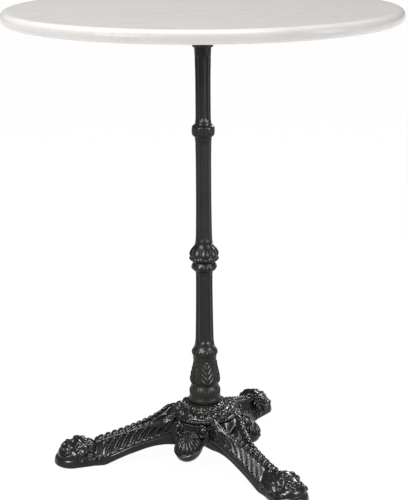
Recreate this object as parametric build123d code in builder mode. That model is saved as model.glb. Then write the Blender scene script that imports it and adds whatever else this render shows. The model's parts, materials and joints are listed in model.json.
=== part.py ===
"""Round bistro table: a polished marble top on a stacked cast-iron column and a three-legged cast-iron base.

All lengths are in millimetres. +Z is up, and the origin is on the floor under the middle of the top.
The column is four castings, threaded like beads on one steel tie rod that runs from a nut under the hub
to a nut in the spider. Three legs meet under the hub and bolt up into it, and the spider screws into
brass inserts in the marble.
"""

import os
from math import cos, radians, sin, sqrt

from build123d import *

# ---------------------------------------------------------------- driving dimensions
TABLE_HEIGHT = 720.0
TOP_RADIUS = 300.0
TOP_THICKNESS = 20.0
EDGE_ROUND = 9.6  # the edge is nearly a full bullnose

LEG_ANGLES = (60.0, 180.0, 300.0)
PENDANT_ANGLES = (0.0, 120.0, 240.0)
FOOT_REACH = 243.5  # from the column's axis to the tip of a foot

ROD_R = 5.0  # M10 tie rod
ROD_BORE_R = 6.5  # clearance hole for the rod in every casting
SPIGOT_R = 9.0  # spigots and sockets between the column's castings
SOCKET_R = 9.2
SPIGOT_LENGTH = 10.0
SOCKET_EXTRA = 0.5

FOOT_SEAT_Z = 97.0  # where the column stands on the hub
LOWER_JOINT_Z = 190.0  # column foot to lower shaft
MIDDLE_JOINT_Z = 357.0  # lower shaft to middle shaft
UPPER_JOINT_Z = 543.0  # middle shaft to upper shaft
SPIDER_SEAT_Z = 661.0  # upper shaft to spider

FLUTE_COUNT = 10
FLUTE_R = 4.5
FLUTE_DEPTH = 0.7

TOP_UNDERSIDE_Z = TABLE_HEIGHT - TOP_THICKNESS
STONE_PAD_THICKNESS = 2.0
SPIDER_TOP_Z = TOP_UNDERSIDE_Z - STONE_PAD_THICKNESS
SPIDER_BOSS_R = 16.2
SCREW_CIRCLE_R = 138.0
SPIDER_ARMS = 4
ARM_TIP_R = 14.0
ARM_TIP_THICKNESS = 6.0
ARM_ROOT_DEPTH = 24.0

SCREW_R = 3.0  # M6 screws into the marble
SCREW_HEAD_R = 5.5
SCREW_HEAD_HEIGHT = 4.0
SCREW_DEPTH = 11.0
INSERT_R = 5.0
INSERT_LENGTH = 12.0
THREAD_GAP = 0.05

HUB_DISC_R = 55.0
HUB_UNDER_Z = 75.0  # flat underside of the hub, which the legs and pendants meet
HUB_BOSS_R = 16.0
HUB_BOSS_BOTTOM_Z = 50.0
HUB_SOCKET_R = 14.3
HUB_SPIGOT_R = 14.0
HUB_SPIGOT_LENGTH = 8.0

LEG_HALF_WIDTH = 20.0
LEG_WALL = 6.0
LEG_PLATE = 7.0  # thickness of a leg's top plate under the hub
LEG_MITRE_GAP = 0.2
LEG_BOSS_GAP = 0.5
LEG_BOLT_R = 4.0  # M8 bolts
LEG_BOLT_SPOTS = (28.0, 44.0)
LEG_BOLT_GRIP = 18.0
LEG_BOLT_HEAD_R = 7.5
LEG_BOLT_HEAD_HEIGHT = 5.3
LEG_WASHER_R = 8.0
LEG_WASHER_THICKNESS = 1.6

NUT_R = 9.8  # across the corners, M10
NUT_HEIGHT = 8.0
WASHER_R = 15.0
WASHER_THICKNESS = 2.5
ROD_BOTTOM_Z = 34.0
SPIDER_POCKET_R = 13.0
SPIDER_POCKET_DEPTH = 14.0

GLIDE_R = 15.0
GLIDE_S = 211.0
GLIDE_THICKNESS = 4.0
GLIDE_PROUD = 1.0

os.makedirs("parts", exist_ok=True)


# ---------------------------------------------------------------- marble top
screw_spots = PolarLocations(SCREW_CIRCLE_R, SPIDER_ARMS)

with BuildPart() as marble_top:
    with BuildSketch(Plane.XY.offset(TOP_UNDERSIDE_Z)):
        Circle(TOP_RADIUS)
    extrude(amount=TOP_THICKNESS)
    fillet(marble_top.edges().filter_by(GeomType.CIRCLE), EDGE_ROUND)
    with BuildSketch(Plane.XY.offset(TOP_UNDERSIDE_Z)):
        with screw_spots:
            Circle(INSERT_R)
    extrude(amount=INSERT_LENGTH, mode=Mode.SUBTRACT)
marble_top.part.label = "marble_top"
export_step(marble_top.part, "parts/marble_top.step")

with BuildPart() as stone_inserts:
    with BuildSketch(Plane.XY.offset(TOP_UNDERSIDE_Z)):
        with screw_spots:
            Circle(INSERT_R)
            Circle(SCREW_R + THREAD_GAP, mode=Mode.SUBTRACT)
    extrude(amount=INSERT_LENGTH)
stone_inserts.part.label = "stone_inserts"
export_step(stone_inserts.part, "parts/stone_inserts.step")

with BuildPart() as stone_pads:
    with BuildSketch(Plane.XY.offset(SPIDER_TOP_Z)):
        with screw_spots:
            Circle(ARM_TIP_R - 1)
            Circle(SCREW_R + 0.5, mode=Mode.SUBTRACT)
    extrude(amount=STONE_PAD_THICKNESS)
stone_pads.part.label = "stone_pads"
export_step(stone_pads.part, "parts/stone_pads.step")

# ---------------------------------------------------------------- spider and its screws
SPIDER_POCKET_Z = SPIDER_TOP_Z - SPIDER_POCKET_DEPTH

with BuildPart() as top_spider:
    # boss, with a collar at its foot and a socket for the upper shaft
    with BuildSketch(Plane.XZ):
        with BuildLine():
            Polyline(
                (ROD_BORE_R, SPIDER_SEAT_Z + SPIGOT_LENGTH + SOCKET_EXTRA),
                (SOCKET_R, SPIDER_SEAT_Z + SPIGOT_LENGTH + SOCKET_EXTRA),
                (SOCKET_R, SPIDER_SEAT_Z),
                (SPIDER_BOSS_R - 1, SPIDER_SEAT_Z),
                (SPIDER_BOSS_R, SPIDER_SEAT_Z + 1.5),
                (SPIDER_BOSS_R, SPIDER_SEAT_Z + 5),
                (SPIDER_BOSS_R - 1.5, SPIDER_SEAT_Z + 7),
                (SPIDER_BOSS_R, SPIDER_SEAT_Z + 14),
                (SPIDER_BOSS_R + 6, SPIDER_TOP_Z - 6),
                (SPIDER_BOSS_R + 6, SPIDER_TOP_Z),
                (SPIDER_POCKET_R, SPIDER_TOP_Z),
                (SPIDER_POCKET_R, SPIDER_POCKET_Z),
                (ROD_BORE_R, SPIDER_POCKET_Z),
                close=True,
            )
        make_face()
    revolve(axis=Axis.Z)
    # arms, deep at the boss and thin at the tip
    for arm in range(SPIDER_ARMS):
        arm_plane = Plane.XY.rotated((0, 0, arm * 360 / SPIDER_ARMS))
        with BuildSketch(arm_plane.offset(SPIDER_TOP_Z - ARM_TIP_THICKNESS)):
            with Locations((SCREW_CIRCLE_R, 0)):
                Circle(ARM_TIP_R)
            with BuildLine():
                Polyline(
                    (SPIDER_BOSS_R, -13),
                    (SCREW_CIRCLE_R, -9),
                    (SCREW_CIRCLE_R, 9),
                    (SPIDER_BOSS_R, 13),
                    close=True,
                )
            make_face()
        extrude(amount=ARM_TIP_THICKNESS)
        rib_plane = Plane((0, 0, 0), x_dir=arm_plane.x_dir, z_dir=-arm_plane.y_dir)
        with BuildSketch(rib_plane):
            with BuildLine():
                Polyline(
                    (SPIDER_BOSS_R - 2, SPIDER_TOP_Z - ARM_ROOT_DEPTH),
                    (SCREW_CIRCLE_R - ARM_TIP_R - 4, SPIDER_TOP_Z - ARM_TIP_THICKNESS),
                    (SPIDER_BOSS_R - 2, SPIDER_TOP_Z - ARM_TIP_THICKNESS),
                    close=True,
                )
            make_face()
        extrude(amount=3.5, both=True)
    with BuildSketch(Plane.XY.offset(SPIDER_TOP_Z)):
        with screw_spots:
            Circle(SCREW_R + 0.4)
    extrude(amount=-ARM_TIP_THICKNESS, mode=Mode.SUBTRACT)
top_spider.part.label = "top_spider"
export_step(top_spider.part, "parts/top_spider.step")

SPIDER_TIP_UNDER_Z = SPIDER_TOP_Z - ARM_TIP_THICKNESS
SPIDER_WASHER_THICKNESS = 1.6

with BuildPart() as spider_washers:
    with BuildSketch(Plane.XY.offset(SPIDER_TIP_UNDER_Z - SPIDER_WASHER_THICKNESS)):
        with screw_spots:
            Circle(6.0)
            Circle(SCREW_R + 0.2, mode=Mode.SUBTRACT)
    extrude(amount=SPIDER_WASHER_THICKNESS)
spider_washers.part.label = "spider_washers"
export_step(spider_washers.part, "parts/spider_washers.step")

SCREW_HEAD_TOP_Z = SPIDER_TIP_UNDER_Z - SPIDER_WASHER_THICKNESS

with BuildPart() as spider_screws:
    with BuildSketch(Plane.XY.offset(SCREW_HEAD_TOP_Z)):
        with screw_spots:
            Circle(SCREW_HEAD_R)
    extrude(amount=-SCREW_HEAD_HEIGHT)
    fillet(spider_screws.faces().sort_by(Axis.Z)[:SPIDER_ARMS].edges(), 1.2)
    with BuildSketch(Plane.XY.offset(SCREW_HEAD_TOP_Z)):
        with screw_spots:
            Circle(SCREW_R)
    extrude(amount=TOP_UNDERSIDE_Z + SCREW_DEPTH - SCREW_HEAD_TOP_Z)
    with BuildSketch(Plane.XY.offset(SCREW_HEAD_TOP_Z - SCREW_HEAD_HEIGHT)):
        with screw_spots:
            RegularPolygon(2.3, 6)
    extrude(amount=2.4, mode=Mode.SUBTRACT)
spider_screws.part.label = "spider_screws"
export_step(spider_screws.part, "parts/spider_screws.step")


# ---------------------------------------------------------------- column
def flutes(radius, z_low, z_high):
    """Straight round rods that cut the shallow flutes of a shaft of that radius."""
    with BuildPart() as rods:
        with BuildSketch(Plane.XY.offset(z_low)):
            with PolarLocations(radius + FLUTE_R - FLUTE_DEPTH, FLUTE_COUNT):
                Circle(FLUTE_R)
        extrude(amount=z_high - z_low)
    return rods.part


upper_flutes = flutes(12.0, UPPER_JOINT_Z + 8, SPIDER_SEAT_Z - 14)
middle_flutes = flutes(12.3, MIDDLE_JOINT_Z + 8, 517)
lower_flutes = flutes(13.8, LOWER_JOINT_Z + 10, 308)

with BuildPart() as upper_shaft:
    with BuildSketch(Plane.XZ):
        with BuildLine():
            Polyline(
                (12.6, SPIDER_SEAT_Z),
                (SPIGOT_R, SPIDER_SEAT_Z),
                (SPIGOT_R, SPIDER_SEAT_Z + SPIGOT_LENGTH),
                (ROD_BORE_R, SPIDER_SEAT_Z + SPIGOT_LENGTH),
                (ROD_BORE_R, UPPER_JOINT_Z - SPIGOT_LENGTH),
                (SPIGOT_R, UPPER_JOINT_Z - SPIGOT_LENGTH),
                (SPIGOT_R, UPPER_JOINT_Z),
                (13.0, UPPER_JOINT_Z),
            )
            Spline(
                (13.0, UPPER_JOINT_Z),
                (12.1, UPPER_JOINT_Z + 7),
                (12.0, 600),
                (12.6, 652),
                (12.6, SPIDER_SEAT_Z),
            )
        make_face()
    revolve(axis=Axis.Z)
    add(upper_flutes, mode=Mode.SUBTRACT)
upper_shaft.part.label = "upper_shaft"
export_step(upper_shaft.part, "parts/upper_shaft.step")

with BuildPart() as middle_shaft:
    with BuildSketch(Plane.XZ):
        with BuildLine():
            Spline((13.6, MIDDLE_JOINT_Z), (12.9, 380), (12.3, 420), (12.3, 480), (12.8, 519))
            Polyline((12.8, 519), (13.2, 524), (15.2, 526))
            ThreePointArc((15.2, 526), (17.5, 534.5), (15.2, UPPER_JOINT_Z))
            Polyline(
                (15.2, UPPER_JOINT_Z),
                (SOCKET_R, UPPER_JOINT_Z),
                (SOCKET_R, UPPER_JOINT_Z - SPIGOT_LENGTH - SOCKET_EXTRA),
                (ROD_BORE_R, UPPER_JOINT_Z - SPIGOT_LENGTH - SOCKET_EXTRA),
                (ROD_BORE_R, MIDDLE_JOINT_Z - SPIGOT_LENGTH),
                (SPIGOT_R, MIDDLE_JOINT_Z - SPIGOT_LENGTH),
                (SPIGOT_R, MIDDLE_JOINT_Z),
                (13.6, MIDDLE_JOINT_Z),
            )
        make_face()
    revolve(axis=Axis.Z)
    add(middle_flutes, mode=Mode.SUBTRACT)
middle_shaft.part.label = "middle_shaft"
export_step(middle_shaft.part, "parts/middle_shaft.step")

with BuildPart() as lower_shaft:
    with BuildSketch(Plane.XZ):
        with BuildLine():
            Spline((16.0, LOWER_JOINT_Z), (14.9, 200), (13.9, 250), (13.4, 290), (13.5, 312.5))
            ThreePointArc((13.5, 312.5), (19.8, 319.5), (17.0, 327))
            ThreePointArc((17.0, 327), (22.7, 333.3), (21.6, 337.5))
            ThreePointArc((21.6, 337.5), (21.3, 344), (16.4, 351.5))
            Polyline(
                (16.4, 351.5),
                (14.2, 355),
                (14.2, MIDDLE_JOINT_Z),
                (SOCKET_R, MIDDLE_JOINT_Z),
                (SOCKET_R, MIDDLE_JOINT_Z - SPIGOT_LENGTH - SOCKET_EXTRA),
                (ROD_BORE_R, MIDDLE_JOINT_Z - SPIGOT_LENGTH - SOCKET_EXTRA),
                (ROD_BORE_R, LOWER_JOINT_Z - SPIGOT_LENGTH),
                (SPIGOT_R, LOWER_JOINT_Z - SPIGOT_LENGTH),
                (SPIGOT_R, LOWER_JOINT_Z),
                (16.0, LOWER_JOINT_Z),
            )
        make_face()
    revolve(axis=Axis.Z)
    add(lower_flutes, mode=Mode.SUBTRACT)
lower_shaft.part.label = "lower_shaft"
export_step(lower_shaft.part, "parts/lower_shaft.step")

with BuildPart() as column_foot:
    with BuildSketch(Plane.XZ):
        with BuildLine():
            Polyline((24.0, FOOT_SEAT_Z), (25.4, 99), (25.4, 103), (23.9, 107), (23.9, 115))
            Spline((23.9, 115), (23.4, 120), (21.5, 126))
            Spline((21.5, 126), (23.5, 135), (20.8, 150), (18.6, 162), (18.3, 168.5))
            ThreePointArc((18.3, 168.5), (19.6, 179), (16.4, LOWER_JOINT_Z))
            Polyline(
                (16.4, LOWER_JOINT_Z),
                (SOCKET_R, LOWER_JOINT_Z),
                (SOCKET_R, LOWER_JOINT_Z - SPIGOT_LENGTH - SOCKET_EXTRA),
                (ROD_BORE_R, LOWER_JOINT_Z - SPIGOT_LENGTH - SOCKET_EXTRA),
                (ROD_BORE_R, FOOT_SEAT_Z - HUB_SPIGOT_LENGTH),
                (HUB_SPIGOT_R, FOOT_SEAT_Z - HUB_SPIGOT_LENGTH),
                (HUB_SPIGOT_R, FOOT_SEAT_Z),
                (24.0, FOOT_SEAT_Z),
            )
        make_face()
    revolve(axis=Axis.Z)
column_foot.part.label = "column_foot"
export_step(column_foot.part, "parts/column_foot.step")

# ---------------------------------------------------------------- hub
with BuildPart() as hub:
    with BuildSketch(Plane.XZ):
        with BuildLine():
            Polyline(
                (HUB_SOCKET_R, FOOT_SEAT_Z),
                (HUB_SOCKET_R, FOOT_SEAT_Z - HUB_SPIGOT_LENGTH - SOCKET_EXTRA),
                (ROD_BORE_R, FOOT_SEAT_Z - HUB_SPIGOT_LENGTH - SOCKET_EXTRA),
                (ROD_BORE_R, HUB_BOSS_BOTTOM_Z),
                (HUB_BOSS_R, HUB_BOSS_BOTTOM_Z),
                (HUB_BOSS_R, HUB_UNDER_Z),
                (HUB_DISC_R - 2, HUB_UNDER_Z),
                (HUB_DISC_R, HUB_UNDER_Z + 2),
                (HUB_DISC_R, HUB_UNDER_Z + 5),
            )
            ThreePointArc((HUB_DISC_R, HUB_UNDER_Z + 5), (50.5, 86), (40, 87.5))
            Polyline((40, 87.5), (38, 88.5), (37, 91))
            ThreePointArc((37, 91), (34, 95), (29, 96))
            Polyline((29, 96), (28, FOOT_SEAT_Z), (HUB_SOCKET_R, FOOT_SEAT_Z))
        make_face()
    revolve(axis=Axis.Z)
    # threaded holes for the leg bolts
    with BuildSketch(Plane.XY.offset(HUB_UNDER_Z)):
        for angle in LEG_ANGLES:
            with Locations(Location((0, 0, 0), (0, 0, angle))):
                with Locations(*[(spot, 0) for spot in LEG_BOLT_SPOTS]):
                    Circle(LEG_BOLT_R + THREAD_GAP)
    extrude(amount=LEG_BOLT_GRIP - LEG_WASHER_THICKNESS - LEG_PLATE + 1, mode=Mode.SUBTRACT)
hub.part.label = "hub"
export_step(hub.part, "parts/hub.step")

# ---------------------------------------------------------------- pendants
BUD_S = 63.0  # centre of a pendant's bud, from the axis
BUD_Z = 42.0
BUD_HALF_LENGTH = 28.0
BUD_R = 21.5
BUD_END_R = 3.0  # small flat at each end of the bud
BUD_TILT = 25.0  # the bud's outer end points down by this much
NECK_HALF_WIDTH = 16.0
NECK_BOTTOM_Z = 54.0
NECK_SEAT_S = 42.0
NECK_FACE_S = 59.0

bud_plane = Plane(
    (BUD_S, 0, BUD_Z),
    x_dir=(cos(radians(BUD_TILT)), 0, -sin(radians(BUD_TILT))),
    z_dir=(0, -1, 0),
)

# a bud that hangs by a short neck from the hub, in the corner between two legs
with BuildPart() as bud:
    with BuildSketch(bud_plane):
        with BuildLine():
            Spline(
                (-BUD_HALF_LENGTH, BUD_END_R),
                (-0.79 * BUD_HALF_LENGTH, 0.6 * BUD_R),
                (0, BUD_R),
                (0.79 * BUD_HALF_LENGTH, 0.6 * BUD_R),
                (BUD_HALF_LENGTH, BUD_END_R),
            )
            Polyline(
                (BUD_HALF_LENGTH, BUD_END_R),
                (BUD_HALF_LENGTH, 0),
                (-BUD_HALF_LENGTH, 0),
                (-BUD_HALF_LENGTH, BUD_END_R),
            )
        make_face()
    revolve(axis=Axis(bud_plane.origin, bud_plane.x_dir))

with BuildPart() as neck:
    with BuildSketch(Plane.XZ):
        with BuildLine():
            Polyline(
                (NECK_SEAT_S, NECK_BOTTOM_Z),
                (NECK_FACE_S, NECK_BOTTOM_Z),
                (NECK_FACE_S, HUB_UNDER_Z - 5),
                (NECK_FACE_S - 5, HUB_UNDER_Z),
                (NECK_SEAT_S, HUB_UNDER_Z),
                close=True,
            )
        make_face()
    extrude(amount=NECK_HALF_WIDTH, both=True)

with BuildPart() as pendant:
    add(bud.part)
    add(neck.part)

for number, angle in enumerate(PENDANT_ANGLES, start=1):
    with BuildPart() as pendant_copy:
        add(pendant.part.rotate(Axis.Z, angle))
    pendant_copy.part.label = f"pendant_{number}"
    export_step(pendant_copy.part, f"parts/pendant_{number}.step")

# ---------------------------------------------------------------- legs
# stations along a leg: distance from the axis, underside, top of the plain band, top edge, floor of the
# groove, and half the spacing of the two top edges
LEG_STATIONS = (
    (55.0, 31.5, 51.0, 82.5, 67.0, 22.0),
    (62.0, 31.8, 49.5, 79.0, 62.0, 21.0),
    (73.0, 31.3, 47.0, 74.5, 58.0, 18.0),
    (88.0, 29.0, 43.0, 67.5, 58.0, 12.5),
    (105.0, 24.0, 38.5, 61.0, 54.0, 8.0),
    (130.0, 16.0, 30.5, 52.5, 48.0, 5.0),
    (150.0, 7.0, 21.0, 47.0, 43.5, 4.2),
    (170.0, 1.0, 13.0, 40.0, 37.0, 4.0),
)
LEG_ROOT_UNDER_Z = 29.5
ROPE_HALF = 3.2
DISC_GAP = 0.5


def leg_section(station):
    """One cross-section of a leg: (offset from the mid-plane, height) of its corners, anticlockwise."""
    _, under, band, top, groove, spread = station
    right = [
        (LEG_HALF_WIDTH, under),
        (LEG_HALF_WIDTH, band),
        (spread + ROPE_HALF, top - 3),
        (spread + 1.5, top),
        (spread - 1.5, top),
        (max(spread - ROPE_HALF, 0.6), top - 3),
    ]
    return right + [(0, groove)] + [(-e, z) for e, z in reversed(right)]


def leg_cavity(station):
    """The same section's hollow, open underneath."""
    _, under, band, top, groove, spread = station
    half = LEG_HALF_WIDTH - LEG_WALL
    crown = max(spread - 3.0, 2.0)
    right = [(half, under - 2), (half, band - 2), (crown, groove - LEG_WALL)]
    return right + [(-e, z) for e, z in reversed(right)]


def across(s):
    """The vertical plane across a leg at distance s, with X to the leg's side and Y up."""
    return Plane((s, 0, 0), x_dir=(0, 1, 0), z_dir=(1, 0, 0))


FOOT_BALL_S = 213.0
FOOT_BALL_R = FOOT_REACH - FOOT_BALL_S
FOOT_PLINTH_TOP_Z = 12.0

with BuildPart() as leg:
    # arched body
    for station in LEG_STATIONS:
        with BuildSketch(across(station[0])):
            Polygon(*leg_section(station), align=None)
    loft(ruled=True)
    # hollow under the arch
    for station in LEG_STATIONS[:-1]:
        with BuildSketch(across(station[0])):
            Polygon(*leg_cavity(station), align=None)
    loft(ruled=True, mode=Mode.SUBTRACT)
    # root: a channel under the hub, mitred against its neighbours and cleared round the rod boss
    root_start, root_end = LEG_STATIONS[0][0], LEG_STATIONS[1][0]
    with BuildSketch(Plane.XZ):
        with BuildLine():
            Polyline(
                (0, LEG_ROOT_UNDER_Z),
                (root_start, LEG_STATIONS[0][1]),
                (root_start, HUB_UNDER_Z),
                (0, HUB_UNDER_Z),
                close=True,
            )
        make_face()
    extrude(amount=LEG_HALF_WIDTH, both=True)
    with BuildSketch(Plane.XY.offset(LEG_ROOT_UNDER_Z - 1)):
        with BuildLine():
            Polyline(
                (0, LEG_WALL - LEG_HALF_WIDTH),
                (root_end, LEG_WALL - LEG_HALF_WIDTH),
                (root_end, LEG_HALF_WIDTH - LEG_WALL),
                (0, LEG_HALF_WIDTH - LEG_WALL),
                close=True,
            )
        make_face()
    extrude(amount=HUB_UNDER_Z - LEG_PLATE - LEG_ROOT_UNDER_Z + 1, mode=Mode.SUBTRACT)
    with BuildSketch(Plane.XY.offset(LEG_ROOT_UNDER_Z - 1)):
        for side in (1, -1):
            mitre_end = 40.0
            with BuildLine():
                Polyline(
                    (2 * LEG_MITRE_GAP / sqrt(3), 0),
                    (2 * LEG_MITRE_GAP / sqrt(3) + mitre_end / sqrt(3), side * mitre_end),
                    (-mitre_end, side * mitre_end),
                    (-mitre_end, 0),
                    close=True,
                )
            make_face()
        Circle(HUB_BOSS_R + LEG_BOSS_GAP)
    extrude(amount=60, mode=Mode.SUBTRACT)
    with BuildSketch(Plane.XY.offset(HUB_UNDER_Z)):
        with Locations(*[(spot, 0) for spot in LEG_BOLT_SPOTS]):
            Circle(LEG_BOLT_R + 0.4)
    extrude(amount=-LEG_PLATE, mode=Mode.SUBTRACT)
    # opening between the two edges, near the hub
    with BuildSketch(Plane.XY.offset(20)):
        with BuildLine():
            Polyline((62, -14), (73, -13), (87, -8), (87, 8), (73, 13), (62, 14), close=True)
        make_face()
    extrude(amount=80, mode=Mode.SUBTRACT)
    # plinth of the foot
    with BuildSketch(Plane.XY.offset(GLIDE_PROUD)):
        with Locations((FOOT_BALL_S, 0)):
            Circle(FOOT_BALL_R)
        with Locations((168, 0)):
            Circle(LEG_HALF_WIDTH - 0.5)
        make_hull()
    extrude(amount=FOOT_PLINTH_TOP_Z - GLIDE_PROUD)
    # paw
    with BuildSketch(Plane.XY.offset(FOOT_PLINTH_TOP_Z)):
        with Locations((FOOT_BALL_S - 1, 0)):
            Circle(FOOT_BALL_R - 3)
        with Locations((168, 0)):
            Circle(LEG_HALF_WIDTH - 3)
        make_hull()
    extrude(amount=15, taper=28)
    with Locations((202, 0, 33)):
        Sphere(12.5)
    with Locations((219, 8, 28), (219, -8, 28)):
        Sphere(9.5)
    with Locations((229, 13, 17), (229, -13, 17), (233, 0, 18)):
        Sphere(8.0)
    with Locations((186, 9, 20), (186, -9, 20)):
        Sphere(9.0)
    # room for the hub's disc
    with BuildSketch(Plane.XY.offset(HUB_UNDER_Z)):
        Circle(HUB_DISC_R + DISC_GAP)
    extrude(amount=30, mode=Mode.SUBTRACT)
    # recess for the glide
    with BuildSketch(Plane.XY.offset(GLIDE_PROUD)):
        with Locations((GLIDE_S, 0)):
            Circle(GLIDE_R + 0.2)
    extrude(amount=GLIDE_THICKNESS - GLIDE_PROUD, mode=Mode.SUBTRACT)

for number, angle in enumerate(LEG_ANGLES, start=1):
    with BuildPart() as leg_copy:
        add(leg.part.rotate(Axis.Z, angle))
    leg_copy.part.label = f"leg_{number}"
    export_step(leg_copy.part, f"parts/leg_{number}.step")
    with BuildPart() as glide:
        with BuildSketch(Plane.XY):
            with Locations(Location((0, 0, 0), (0, 0, angle))):
                with Locations((GLIDE_S, 0)):
                    Circle(GLIDE_R)
        extrude(amount=GLIDE_THICKNESS)
    glide.part.label = f"glide_{number}"
    export_step(glide.part, f"parts/glide_{number}.step")

# ---------------------------------------------------------------- leg bolts and washers
BOLT_SEAT_Z = HUB_UNDER_Z - LEG_PLATE - LEG_WASHER_THICKNESS
bolt_spots = [
    (spot * cos(radians(angle)), spot * sin(radians(angle)))
    for angle in LEG_ANGLES
    for spot in LEG_BOLT_SPOTS
]

with BuildPart() as leg_washers:
    with BuildSketch(Plane.XY.offset(BOLT_SEAT_Z)):
        with Locations(*bolt_spots):
            Circle(LEG_WASHER_R)
            Circle(LEG_BOLT_R + 0.2, mode=Mode.SUBTRACT)
    extrude(amount=LEG_WASHER_THICKNESS)
leg_washers.part.label = "leg_washers"
export_step(leg_washers.part, "parts/leg_washers.step")

with BuildPart() as leg_bolts:
    with BuildSketch(Plane.XY.offset(BOLT_SEAT_Z)):
        with Locations(*bolt_spots):
            RegularPolygon(LEG_BOLT_HEAD_R, 6)
    extrude(amount=-LEG_BOLT_HEAD_HEIGHT)
    with BuildSketch(Plane.XY.offset(BOLT_SEAT_Z)):
        with Locations(*bolt_spots):
            Circle(LEG_BOLT_R)
    extrude(amount=LEG_BOLT_GRIP)
leg_bolts.part.label = "leg_bolts"
export_step(leg_bolts.part, "parts/leg_bolts.step")


# ---------------------------------------------------------------- tie rod, nuts and washers
def nut_at(z_low):
    """A hexagon nut on the tie rod, standing on z_low, with its corners trimmed round."""
    with BuildPart() as hexagon:
        with BuildSketch(Plane.XY.offset(z_low)):
            RegularPolygon(NUT_R, 6)
            Circle(NUT_R - 0.4, mode=Mode.INTERSECT)
            Circle(ROD_R + THREAD_GAP, mode=Mode.SUBTRACT)
        extrude(amount=NUT_HEIGHT)
    return hexagon


with BuildPart() as bottom_washer:
    with BuildSketch(Plane.XY.offset(HUB_BOSS_BOTTOM_Z - WASHER_THICKNESS)):
        Circle(WASHER_R)
        Circle(ROD_R + 0.3, mode=Mode.SUBTRACT)
    extrude(amount=WASHER_THICKNESS)
bottom_washer.part.label = "bottom_washer"
export_step(bottom_washer.part, "parts/bottom_washer.step")

bottom_nut = nut_at(HUB_BOSS_BOTTOM_Z - WASHER_THICKNESS - NUT_HEIGHT)
bottom_nut.part.label = "bottom_nut"
export_step(bottom_nut.part, "parts/bottom_nut.step")

with BuildPart() as top_washer:
    with BuildSketch(Plane.XY.offset(SPIDER_POCKET_Z)):
        Circle(SPIDER_POCKET_R - 0.5)
        Circle(ROD_R + 0.3, mode=Mode.SUBTRACT)
    extrude(amount=WASHER_THICKNESS)
top_washer.part.label = "top_washer"
export_step(top_washer.part, "parts/top_washer.step")

top_nut = nut_at(SPIDER_POCKET_Z + WASHER_THICKNESS)
top_nut.part.label = "top_nut"
export_step(top_nut.part, "parts/top_nut.step")

with BuildPart() as tie_rod:
    with BuildSketch(Plane.XY.offset(ROD_BOTTOM_Z)):
        Circle(ROD_R)
    extrude(amount=SPIDER_TOP_Z - 1.5 - ROD_BOTTOM_Z)
    chamfer(tie_rod.edges().filter_by(GeomType.CIRCLE), 0.8)
tie_rod.part.label = "tie_rod"
export_step(tie_rod.part, "parts/tie_rod.step")
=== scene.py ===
"""A round bistro table: white marble top, slim cast-iron column, three paw-footed legs."""

import json
import math
import random

import bpy
import numpy as np
from mathutils import Matrix, Vector

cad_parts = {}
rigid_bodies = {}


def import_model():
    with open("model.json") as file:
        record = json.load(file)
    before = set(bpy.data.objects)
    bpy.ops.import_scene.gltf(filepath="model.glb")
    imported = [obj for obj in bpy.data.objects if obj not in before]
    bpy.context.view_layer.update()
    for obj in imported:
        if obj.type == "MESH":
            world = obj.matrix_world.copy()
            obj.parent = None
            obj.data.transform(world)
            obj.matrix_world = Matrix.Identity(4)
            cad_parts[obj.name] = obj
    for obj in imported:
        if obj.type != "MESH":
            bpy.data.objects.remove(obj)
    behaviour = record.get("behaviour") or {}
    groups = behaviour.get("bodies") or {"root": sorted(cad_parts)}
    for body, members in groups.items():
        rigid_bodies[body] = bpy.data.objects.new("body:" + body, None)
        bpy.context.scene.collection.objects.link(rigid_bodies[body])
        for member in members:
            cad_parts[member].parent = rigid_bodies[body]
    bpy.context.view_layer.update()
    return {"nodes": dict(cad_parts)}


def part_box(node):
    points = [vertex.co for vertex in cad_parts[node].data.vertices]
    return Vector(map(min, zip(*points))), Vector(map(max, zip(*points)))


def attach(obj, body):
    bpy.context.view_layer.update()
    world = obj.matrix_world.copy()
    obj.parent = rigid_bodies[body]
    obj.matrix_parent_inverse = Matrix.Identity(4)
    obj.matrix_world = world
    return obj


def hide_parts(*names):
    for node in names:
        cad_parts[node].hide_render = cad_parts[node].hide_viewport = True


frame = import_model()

nodes = frame["nodes"]
MM = 0.001

# ------------------------------ mesh helpers


def smooth_step(x, a, b):
    """0 below a, 1 above b, and a smooth rise between them."""
    t = np.clip((x - a) / (b - a), 0.0, 1.0)
    return t * t * (3 - 2 * t)


def bump(x, centre, half):
    """A smooth hump of height 1 at centre, which is 0 from half away."""
    t = np.clip(1 - np.abs(x - centre) / half, 0.0, 1.0)
    return t * t * (3 - 2 * t)


def make_piece(name, points, faces, material, stands_for):
    """Makes an object of points in millimetres and quads, which rides on the root body."""
    mesh = bpy.data.meshes.new(name)
    points = np.asarray(points, np.float32) * MM
    faces = np.asarray(faces, np.int32)
    count, corners = faces.shape
    mesh.vertices.add(len(points))
    mesh.vertices.foreach_set("co", points.ravel())
    mesh.loops.add(count * corners)
    mesh.loops.foreach_set("vertex_index", faces.ravel())
    mesh.polygons.add(count)
    mesh.polygons.foreach_set("loop_start", np.arange(0, count * corners, corners, dtype=np.int32))
    mesh.polygons.foreach_set("use_smooth", np.ones(count, bool))
    mesh.update(calc_edges=True)
    mesh.validate()
    mesh.materials.append(material)
    piece = bpy.data.objects.new(name, mesh)
    bpy.context.scene.collection.objects.link(piece)
    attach(piece, "root")
    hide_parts(*stands_for)


def turn_points(points, degrees):
    """Points turned about the vertical axis."""
    a = math.radians(degrees)
    turned = np.array(points, float)
    turned[:, 0] = points[:, 0] * math.cos(a) - points[:, 1] * math.sin(a)
    turned[:, 1] = points[:, 0] * math.sin(a) + points[:, 1] * math.cos(a)
    return turned


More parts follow.
